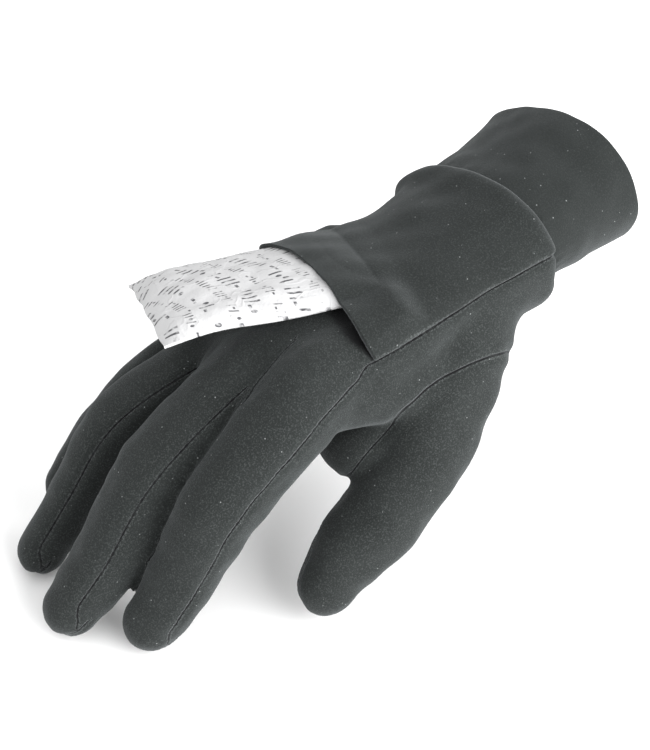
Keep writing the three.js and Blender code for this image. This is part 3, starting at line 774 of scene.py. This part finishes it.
# Pocket: a patch on the back of the hand, sewn at its sides and at the wrist, and lifted over the pack. Its
# mouth is given from the thumb's side, as shares of the width and lengths from the wrist seam.
pocket = dict(
    mouth=[[0, 76], [0.03, 76.6], [0.06, 75.8], [0.1, 74.2], [0.15, 71.7], [0.21, 68.5], [0.28, 64.6],
           [0.35, 60.9], [0.43, 58], [0.51, 55.3], [0.59, 54.9], [0.66, 55.5], [0.74, 57], [0.8, 58.5],
           [0.86, 57.5], [1, 57]],
    across=95, slopeNear=26, slopeFar=10, slopeBack=9, wristRun=12, sideRun=6, gap=0.3, wall=1.1,
    seamRise=0.03, edgeRoll=2.6, edgeWall=0.25, clear=0.5, uneven=0.25,
    # The shade keys set the strip of painted shade on the hand just inside the pocket's mouth
    lineEdge=0.06, shade=3.8, shadeFrom=0.4, shadeSoft=1.6, shadeRun=8, backFrom=2, backRun=3,
)
pocketMouth = np.array(pocket["mouth"])
mouthAt = np.linspace(0, 1, 200)
mouthReach = blurred(np.interp(mouthAt, pocketMouth[:, 0], pocketMouth[:, 1]))


def pocketSheet(rows, columns):
    # Upper and lower grids of the pocket from the wrist seam to its mouth, with the distance to the nearer
    # side seam and the length from the wrist seam.
    along = np.sin(np.linspace(0, np.pi / 2, rows))[:, None] * np.ones(columns)
    u = (0.5 - 0.5 * np.cos(np.linspace(0, np.pi, columns)))[None] * np.ones((rows, 1))
    reach = np.interp(u, mouthAt, mouthReach)
    share = (pocket["gap"] + (reach - pocket["gap"]) * along) / palm["length"]
    edge = np.arcsin((palmSection(share)["seam"] + pocket["seamRise"]) ** (palm["roundness"] / 2))
    angle = edge + (np.pi - 2 * edge) * u
    fromSide = np.minimum(u, 1 - u) * pocket["across"]
    roll = np.sqrt(1 - (1 - np.clip(fromSide / pocket["edgeRoll"], 0, 1)) ** 2)
    wall = pocket["wall"] * (pocket["edgeWall"] + (1 - pocket["edgeWall"]) * roll)
    under = handPoint(share, angle, pocket["gap"] * roll)
    over = handPoint(share, angle, pocket["gap"] * roll + wall)
    lift = pocketLift(under, fromSide)
    soft = pocket["uneven"] * ripple(under, 15, 31) * roll
    for grid in (over, under):
        grid[..., 2] += lift + soft
    return over, under, fromSide, share * palm["length"]


def pocketLift(under, fromSide):
    # Rise of the cloth off the hand: over the pack to its top, and beside it down a straight tent to the seam.
    x, y = under[..., 0], under[..., 1]
    out, aside = onPack(x, y)
    beside = np.maximum(0, np.abs(aside) - 1) * pack["width"] / 2
    slope = np.where(aside > 0, pocket["slopeNear"], pocket["slopeFar"])
    behind = np.maximum(0, -out - 1) * pack["length"] / 2
    cover = smoothStep(1 - np.hypot(behind / pocket["slopeBack"], beside / slope))
    deep = packDepth(np.clip(out, -1, 1), np.clip(aside, -1, 1))
    rise = np.maximum(0, bedHeight(x, y) + deep + pocket["clear"] - under[..., 2])
    return cover * rise * smoothStep(-y / pocket["wristRun"]) * smoothStep(fromSide / pocket["sideRun"])


def pocketMesh(material):
    rows, columns = 130, 170
    over, under, side, run = pocketSheet(rows, columns)
    points = np.concatenate([over, under]).reshape(-1, 3)
    made = meshObject("pocket_patch", points, sheetFaces(rows, columns), material)
    setAttributes(made, 2, edgeNear=side, edgeRun=run)
    return place(made)


# Materials, in millimetres of the object's own coordinates

def newMaterial(name):
    material = bpy.data.materials.new(name)
    material.use_nodes = True
    tree = material.node_tree
    return material, tree, tree.nodes["Principled BSDF"]


def feed(tree, node, inputs):
    for key, value in inputs.items():
        value = getattr(value, "socket", value)
        if isinstance(value, bpy.types.NodeSocket):
            tree.links.new(value, node.inputs[key])
        else:
            node.inputs[key].default_value = value


def addNode(tree, kind, inputs={}, **settings):
    node = tree.nodes.new(kind)
    for key, value in settings.items():
        setattr(node, key, value)
    feed(tree, node, inputs)
    return node


class Field:
    # A value worked out by shader nodes, which is added and multiplied like a number.
    def __init__(self, tree, socket):
        self.tree, self.socket = tree, socket

    def calc(self, operation, *others):
        node = addNode(self.tree, "ShaderNodeMath", dict(enumerate([self, *others])), operation=operation)
        return Field(self.tree, node.outputs[0])

    def __add__(self, other):
        return self.calc("ADD", other)

    def __sub__(self, other):
        return self.calc("SUBTRACT", other)

    def __mul__(self, other):
        return self.calc("MULTIPLY", other)

    def __truediv__(self, other):
        return self.calc("DIVIDE", other)

    def between(self, low, high):
        # Run smoothly from 0 to 1 between two limits, which may be in either order.
        inputs = {"Value": self, "From Min": low, "From Max": high}
        node = addNode(self.tree, "ShaderNodeMapRange", inputs, interpolation_type="SMOOTHSTEP")
        return Field(self.tree, node.outputs["Result"])

    def band(self, outer, inner):
        # One near nought, and nothing beyond the outer limit on either side.
        return self.calc("ABSOLUTE").between(outer, inner)


def millimetres(tree):
    where = addNode(tree, "ShaderNodeTexCoord").outputs["Object"]
    return addNode(tree, "ShaderNodeMapping", {"Vector": where, "Scale": (1 / mm, 1 / mm, 1 / mm)}).outputs[0]


def noise(tree, vector, size, detail=2.0, roughness=0.5):
    node = addNode(tree, "ShaderNodeTexNoise",
                   {"Vector": vector, "Scale": 1 / size, "Detail": detail, "Roughness": roughness})
    return Field(tree, node.outputs["Fac"])


def mixColour(tree, factor, first, second):
    # Of a colour mix node's sockets, 0 is the factor, 6 and 7 are its colours, and output 2 is the result.
    return addNode(tree, "ShaderNodeMix", {0: factor, 6: first, 7: second}, data_type="RGBA").outputs[2]


def readAttribute(tree, name):
    return Field(tree, addNode(tree, "ShaderNodeAttribute", attribute_name=name).outputs["Fac"])


def dress(tree, shader, tone, height, look):
    # Colour and fine relief, and a gloss that is the same all over.
    bump = addNode(tree, "ShaderNodeBump", {"Height": height, "Strength": look["bump"], "Distance": mm})
    feed(tree, shader, {"Base Color": tone, "Normal": bump.outputs[0], "Roughness": look["roughness"],
                        "Specular IOR Level": look["specular"]})


# A pair of limits says where a mark fades from nothing to full
# The shade colour darkens the seam lines and is also the painted shade under the pocket's lip
cloth = dict(
    dark=(0.0125, 0.0145, 0.014, 1), pale=(0.015, 0.0172, 0.0167, 1), fuzz=(0.06, 0.066, 0.065, 1),
    lint=(0.2, 0.21, 0.21, 1), shade=(0.003, 0.003, 0.0035, 1),
    blotchSize=16, blotch=(0.35, 0.7), napSize=0.45, nap=(0.48, 0.68), napHeight=0.16,
    lintSize=2.3, lintSpot=(0.11, 0.05), lintShare=(0.55, 0.85),
    bump=0.9, roughness=0.92, specular=0.18, sheen=0.16, sheenRoughness=0.45, sheenTint=(0.75, 0.8, 0.82, 1),
)
stitching = dict(
    pitch=2.3, reach=(2.4, 1.6), waver=0.07, line=(0.42, 0.16), lineLeast=0.7, lineDepth=-0.5,
    breakSize=6, breaks=(0.35, 0.55), ridge=(1.1, 0.4), ridgeHeight=0.12, hairs=(0.44, 0.6), hairiness=0.75,
    fray=(1.5, 0.5), frayWaver=0.15, frayHairs=(0.42, 0.62), frayHeight=0.06,
)


def stitchWave(run):
    return (run * (2 * np.pi / stitching["pitch"])).calc("SINE")


def fleeceMaterial(name, nap, seamed=False, frayed=False):
    # Brushed stretch fleece: two dark tones in soft blotches, a fine nap and sparse pale lint. Seams are dark
    # lines between hairy ridges, and shade is painted on the cloth under the pocket's lip. The pocket's sides
    # are frayed.
    material, tree, shader = newMaterial(name)
    where = millimetres(tree)
    grain = noise(tree, where, cloth["napSize"], 3, 0.7)
    blotch = noise(tree, where, cloth["blotchSize"], 3).between(*cloth["blotch"])
    tone = mixColour(tree, blotch, cloth["dark"], cloth["pale"])
    tone = mixColour(tree, grain.between(*cloth["nap"]) * nap, tone, cloth["fuzz"])
    cells = addNode(tree, "ShaderNodeTexVoronoi", {"Vector": where, "Scale": 1 / cloth["lintSize"]}).outputs
    chance = Field(tree, addNode(tree, "ShaderNodeSeparateColor", {"Color": cells["Color"]}).outputs[0])
    lint = Field(tree, cells["Distance"]).between(*cloth["lintSpot"]) * chance.between(*cloth["lintShare"])
    tone = mixColour(tree, lint, tone, cloth["lint"])
    height = grain * cloth["napHeight"]
    if seamed:
        keys = ("seamNear", "seamSide", "seamRun", "covered")
        near, side, run, covered = (readAttribute(tree, key) for key in keys)
        gap = side.calc("ABSOLUTE")
        close = near.between(*stitching["reach"])
        waver = stitchWave(run) * stitching["waver"]
        broken = noise(tree, where, stitching["breakSize"], 2).between(*stitching["breaks"])
        depth = broken * (1 - stitching["lineLeast"]) + stitching["lineLeast"]
        line = (gap + waver).between(*stitching["line"]) * close * depth
        ridge = gap.between(*stitching["ridge"]) * close
        hairy = ridge * grain.between(*stitching["hairs"]) * stitching["hairiness"]
        tone = mixColour(tree, hairy, tone, cloth["fuzz"])
        # The seam lines and the painted shade under the pocket's lip both take the dark shade colour
        for share in (line, covered):
            tone = mixColour(tree, share, tone, cloth["shade"])
        height = height + line * stitching["lineDepth"] + ridge * stitching["ridgeHeight"]
    if frayed:
        edge, run = (readAttribute(tree, key) for key in ("edgeNear", "edgeRun"))
        pinch = stitchWave(run)
        fray = (edge + pinch * stitching["frayWaver"]).between(*stitching["fray"])
        tone = mixColour(tree, fray * grain.between(*stitching["frayHairs"]), tone, cloth["fuzz"])
        height = height + pinch * fray * stitching["frayHeight"]
    dress(tree, shader, tone, height, cloth)
    feed(tree, shader, {"Sheen Weight": cloth["sheen"], "Sheen Roughness": cloth["sheenRoughness"],
                        "Sheen Tint": cloth["sheenTint"]})
    return material


paper = dict(
    white=(0.52, 0.52, 0.525, 1), ink=(0.06, 0.06, 0.065, 1), bump=0.7, roughness=0.75, specular=0.25,
    dimpleSize=0.9, dimpleHeight=0.05, fibreSize=0.5, fibreHeight=0.08, rumpleSize=4, rumpleHeight=0.45,
    foldSize=11, fold=(0.035, 0.0), foldHeight=0.16,
)
# Rows of plain marks, which spell nothing. They lie on rings about a point ahead of the outer end. Each cell
# of a row holds a slanted stroke, a dash or a dot, and the last cells of each group stay bare.
marks = dict(
    ahead=50, aside=20, pitch=6.2, height=2.8, heightMore=1.6, cell=0.5,
    strokeShare=0.62, slant=0.22, stroke=(0.21, 0.15), tall=(0.54, 0.46),
    dashShare=0.6, dash=(0.13, 0.08), dashLong=(0.4, 0.34),
    dotWide=0.34, dotDeep=0.24, dotSway=0.5, dot=(1.1, 0.6),
    group=7.0, groupShift=0.37, groupFull=0.8, wornSize=2.2, worn=(0.32, 0.6), strength=0.96,
)


def markInk(tree, where):
    # How much ink a point holds, from its ring, its place across the ring and its cell along it.
    ahead = readAttribute(tree, "sachetAlong") * -1 + marks["ahead"]
    beside = readAttribute(tree, "sachetAcross") - marks["aside"]
    radius = (ahead * ahead + beside * beside).calc("SQRT")
    row = (radius / marks["pitch"]).calc("FLOOR")
    ring = (row + 0.5) * marks["pitch"]
    high = row.calc("MODULO", 2.0) * marks["heightMore"] + marks["height"]
    up = (radius - ring) / high
    step = beside.calc("ARCTAN2", ahead) * ring / (high * marks["cell"])
    cell, part = step.calc("FLOOR"), step.calc("FRACT") - 0.5
    spot = addNode(tree, "ShaderNodeCombineXYZ", {"X": cell, "Y": row}).outputs[0]
    chance = addNode(tree, "ShaderNodeTexWhiteNoise", {"Vector": spot}).outputs["Color"]
    chances = addNode(tree, "ShaderNodeSeparateColor", {"Color": chance}).outputs[:3]
    first, second, third = (Field(tree, socket) for socket in chances)
    shift = third - 0.5
    stroke = (part - up * marks["slant"]).band(*marks["stroke"]) * up.band(*marks["tall"])
    wide, deep = part / marks["dotWide"], (up - shift * marks["dotSway"]) / marks["dotDeep"]
    dot = (wide * wide + deep * deep).between(*marks["dot"])
    dash = (up - shift).band(*marks["dash"]) * part.band(*marks["dashLong"])
    dot = dot * second.calc("GREATER_THAN", marks["dashShare"])
    dash = dash * second.calc("LESS_THAN", marks["dashShare"])
    other = dot.calc("MAXIMUM", dash) * first.calc("GREATER_THAN", marks["strokeShare"])
    mark = (stroke * first.calc("LESS_THAN", marks["strokeShare"])).calc("MAXIMUM", other)
    group = (cell / marks["group"] + row * marks["groupShift"]).calc("FRACT")
    worn = noise(tree, where, marks["wornSize"], 3).between(*marks["worn"])
    return mark * group.calc("LESS_THAN", marks["groupFull"]) * worn * marks["strength"]


def sachetMaterial():
    # Non-woven sachet: white, dimpled by its bonding points, with soft folds and faint rows of marks.
    material, tree, shader = newMaterial("sachet")
    where = millimetres(tree)
    tone = mixColour(tree, markInk(tree, where), paper["white"], paper["ink"])
    dimples = addNode(tree, "ShaderNodeTexVoronoi", {"Vector": where, "Scale": 1 / paper["dimpleSize"]})
    fold = (noise(tree, where, paper["foldSize"], 2) - 0.5).band(*paper["fold"])
    height = (Field(tree, dimples.outputs["Distance"]) * paper["dimpleHeight"]
              + noise(tree, where, paper["fibreSize"], 3, 0.7) * paper["fibreHeight"]
              + noise(tree, where, paper["rumpleSize"], 4, 0.6) * paper["rumpleHeight"]
              + fold * paper["foldHeight"])
    dress(tree, shader, tone, height, paper)
    return material


# Each piece of cloth has its own nap: deep on the hand, flat on the stretched cuff
skinPiece = skinMesh(fleeceMaterial("fleece_hand", 0.55, seamed=True))
print("skin made")
cuffPiece = cuffMesh(fleeceMaterial("fleece_cuff", 0.2))
packPiece = packMesh(sachetMaterial())
pocketPiece = pocketMesh(fleeceMaterial("fleece_pocket", 0.38, frayed=True))
print("cuff, pack and pocket made")

for piece, nodes, slotName in (
    (skinPiece, ("back_panel", "palm_panel", "thumb"), "fleece"),
    (cuffPiece, ("cuff",), "fleece"),
    (pocketPiece, ("pocket",), "fleece"),
    (packPiece, ("heat_pack",), "sachet"),
):
    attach(piece, body)
    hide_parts(*nodes)

# Camera, from the photograph's viewing angle: azimuth from -Y towards +X, elevation above the floor. The focal
# length is in pixels of a picture of the given height.
view = dict(
    azimuth=52.4, elevation=38.9, distance=0.5899, target=(-0.0188, -0.0416, -0.047), focal=1827, high=750,
    sensor=36,
)


def makeCamera():
    a, e = np.radians([view["azimuth"], view["elevation"]])
    back = Vector((np.sin(a) * np.cos(e), -np.cos(a) * np.cos(e), np.sin(e)))
    lens = bpy.data.cameras.new("camera")
    lens.sensor_width = view["sensor"]
    lens.lens = view["focal"] / view["high"] * view["sensor"]
    lens.clip_start, lens.clip_end = 0.01, 20
    camera = bpy.data.objects.new("camera", lens)
    camera.rotation_mode = "QUATERNION"
    camera.location = Vector(view["target"]) + back * view["distance"]
    camera.rotation_quaternion = (-back).to_track_quat("-Z", "Y")
    bpy.context.scene.collection.objects.link(camera)
    bpy.context.scene.camera = camera


stage = dict(
    floor=3.0, floorTone=(0.94, 0.94, 0.94, 1), floorRoughness=0.9, floorSpecular=0.1,
    world=0.92, lean=0.55, bright=(0.5, 0.1, 0.86),
    key=36.0, keySize=1.3, keyPlace=(1.2, 0.15, 0.45), keyAim=(0, -0.05, -0.04),
)


def makeStage():
    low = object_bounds()[0].z
    material, tree, shader = newMaterial("floor")
    feed(tree, shader, {"Base Color": stage["floorTone"], "Roughness": stage["floorRoughness"],
                        "Specular IOR Level": stage["floorSpecular"]})
    half = stage["floor"]
    corners = np.array([[-half, -half, low], [half, -half, low], [half, half, low], [-half, half, low]])
    floor = meshObject("floor", corners, [[0, 1, 2, 3]], material, False)
    # The room is brighter overhead and to the right than to the left, by the cosine to one direction
    world = bpy.data.worlds.new("studio")
    world.use_nodes = True
    sky = world.node_tree
    where = addNode(sky, "ShaderNodeTexCoord").outputs["Generated"]
    facing = addNode(sky, "ShaderNodeVectorMath", {0: where, 1: stage["bright"]}, operation="DOT_PRODUCT")
    strength = (Field(sky, facing.outputs["Value"]) * stage["lean"] + 1.0) * stage["world"]
    feed(sky, sky.nodes["Background"], {"Color": (1, 1, 1, 1), "Strength": strength})
    bpy.context.scene.world = world
    light = bpy.data.lights.new("key_light", "AREA")
    light.shape = "DISK"
    light.size = stage["keySize"]
    light.energy = stage["key"]
    lamp = bpy.data.objects.new("key_light", light)
    lamp.location = stage["keyPlace"]
    lamp.rotation_mode = "QUATERNION"
    lamp.rotation_quaternion = (Vector(stage["keyAim"]) - lamp.location).to_track_quat("-Z", "Y")
    bpy.context.scene.collection.objects.link(lamp)


makeCamera()
makeStage()
bpy.context.scene.view_settings.view_transform = "Standard"
